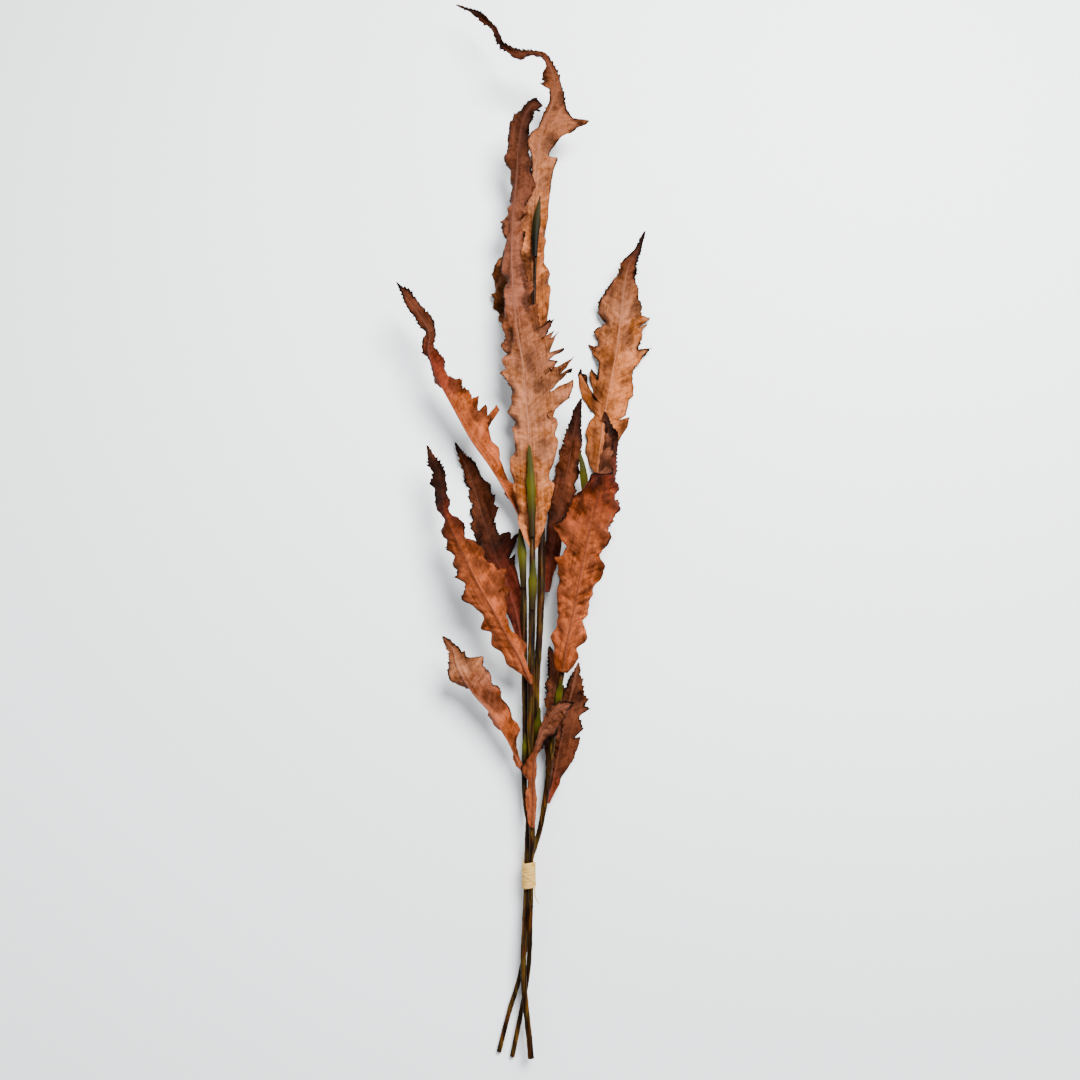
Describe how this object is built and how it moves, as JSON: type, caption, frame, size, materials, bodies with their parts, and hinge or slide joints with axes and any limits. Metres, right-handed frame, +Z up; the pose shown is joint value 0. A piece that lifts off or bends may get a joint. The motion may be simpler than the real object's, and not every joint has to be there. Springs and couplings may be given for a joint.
{
  "type": "dried leaf bunch",
  "caption": "Tied bunch of dried stems with long, jagged, curled brown leaves and green sheaths, lying on a surface.",
  "frame": {"origin": "centre of the bunch's outline on the surface that it lies on", "axes": "+X to the right, +Y along the stems from the cut ends to the leaf tips, +Z up from the surface"},
  "size_m": [0.258, 1.0532, 0.0786],
  "materials": {
    "stem_bark": "dark brown olive bark, rough on the right stem, slightly shiny at the cut ends",
    "dried_leaf_pale": "dry papery leaf, pale tan brown with thin veins and burnt edges",
    "dried_leaf_orange": "dry papery leaf, orange brown with a raised rib and burnt edges",
    "dried_leaf_dark": "dry papery leaf, dark brown to mauve brown with blackened edges",
    "green_sheath": "smooth olive green leaf sheath with a soft sheen",
    "raffia": "matt straw coloured raffia with fine fibres"
  },
  "bodies": {
    "root": {"stem_left": "stem_bark", "stem_middle": "stem_bark", "stem_right": "stem_bark", "leaf_top": "dried_leaf_pale", "leaf_front_tall": "dried_leaf_pale", "leaf_left_high": "dried_leaf_orange", "leaf_right_high": "dried_leaf_pale", "leaf_back_dark": "dried_leaf_dark", "leaf_right_front": "dried_leaf_orange", "leaf_left_front": "dried_leaf_orange", "leaf_left_dark": "dried_leaf_dark", "leaf_left_low": "dried_leaf_orange", "leaf_front_low": "dried_leaf_orange", "leaf_right_low": "dried_leaf_dark", "leaf_back_low": "dried_leaf_dark", "sheath_top": "green_sheath", "sheath_front_tall": "green_sheath", "sheath_left_high": "green_sheath", "sheath_right_high": "green_sheath", "sheath_middle": "green_sheath", "sheath_right_front": "green_sheath", "sheath_low_right": "green_sheath", "sheath_low_left": "green_sheath", "raffia_tie": "raffia"}
  },
  "joints": []
}
